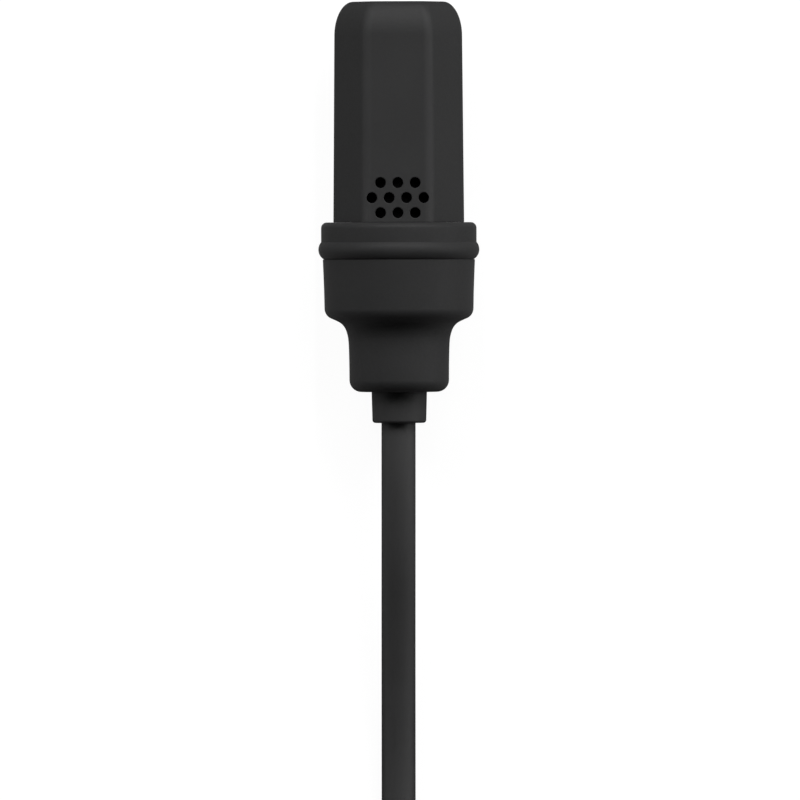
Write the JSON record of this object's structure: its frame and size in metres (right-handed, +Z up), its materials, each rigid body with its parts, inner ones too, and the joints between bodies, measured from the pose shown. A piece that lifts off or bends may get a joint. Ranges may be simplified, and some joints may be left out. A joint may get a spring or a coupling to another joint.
{
  "type": "lavalier microphone",
  "caption": "Miniature clip-on condenser microphone with a perforated hexagonal cap, stepped round body, thin cable and locking connector.",
  "frame": {"origin": "on the surface the microphone lies on, below the middle of the microphone without its free cable and connector", "axes": "+Y along the microphone's axis towards the cap's closed end, the cable leaves towards -Y, +Z up through the cap's flat side with the sound holes, +X to the right"},
  "size_m": [0.0257, 0.1017, 0.0113],
  "materials": {
    "cap_black": "smooth satin black",
    "shell_black": "smooth satin black",
    "relief_black": "satin",
    "cable_black": "satin extruded jacket",
    "screen_mesh": "fine blackened mesh",
    "brass_part": "turned",
    "resin": "cast",
    "chassis_black": "matte",
    "seal_rubber": "matte",
    "can_aluminium": "satin",
    "felt": "matted",
    "film": "metallised",
    "inner_plastic": "moulded",
    "board_green": "solder mask",
    "chip_black": "moulded",
    "ceramic": "fired",
    "solder": "bright",
    "copper": "bare wire",
    "wire_red": "insulation",
    "wire_white": "insulation",
    "tie_black": "woven hook and loop",
    "plug_metal": "satin black over metal",
    "contact_gold": "gold plated",
    "screw_steel": "blackened",
    "boot_black": "matte",
    "latch_metal": "satin"
  },
  "bodies": {
    "microphone": {"body_shell": "shell_black", "strain_relief": "relief_black", "cable_jacket_end": "cable_black", "crimp_ring": "brass_part", "anchor_resin": "resin", "inner_chassis": "chassis_black", "cap_seal": "seal_rubber", "capsule_can": "can_aluminium", "front_felt": "felt", "diaphragm_ring": "brass_part", "diaphragm": "film", "spacer_ring": "film", "backplate": "brass_part", "backplate_holder": "inner_plastic", "contact_ring": "brass_part", "rear_damper": "felt", "circuit_board": "board_green", "fet_chip": "chip_black", "chip_capacitors": "ceramic", "solder_joints": "solder", "shield_wire": "copper", "signal_wire": "wire_red", "bias_wire": "wire_white", "cable_lead": "cable_black", "cable_coil": "cable_black", "cable_tail": "cable_black", "coil_tie": "tie_black", "plug_shell": "plug_metal", "plug_insert": "inner_plastic", "socket_contacts": "contact_gold", "insert_screw": "screw_steel", "latch_spring": "screw_steel", "plug_boot": "boot_black", "plug_jacket_end": "cable_black", "cable_clamp": "brass_part", "plug_conductors": "wire_red"},
    "cap": {"grille_cap": "cap_black", "front_screen": "screen_mesh", "port_screen": "screen_mesh"},
    "latch": {"latch_button": "latch_metal"}
  },
  "joints": [
    {"name": "cap_pull", "type": "slide", "parent": "microphone", "child": "cap", "axis": [0, 1, 0], "range_m": [0, 0.01]},
    {"name": "latch_press", "type": "slide", "parent": "microphone", "child": "latch", "axis": [0, 0, -1], "range_m": [0, 0.0007], "stiffness_N_per_m": 400, "springref_m": -0.0005, "deforming": ["latch_spring"]}
  ]
}
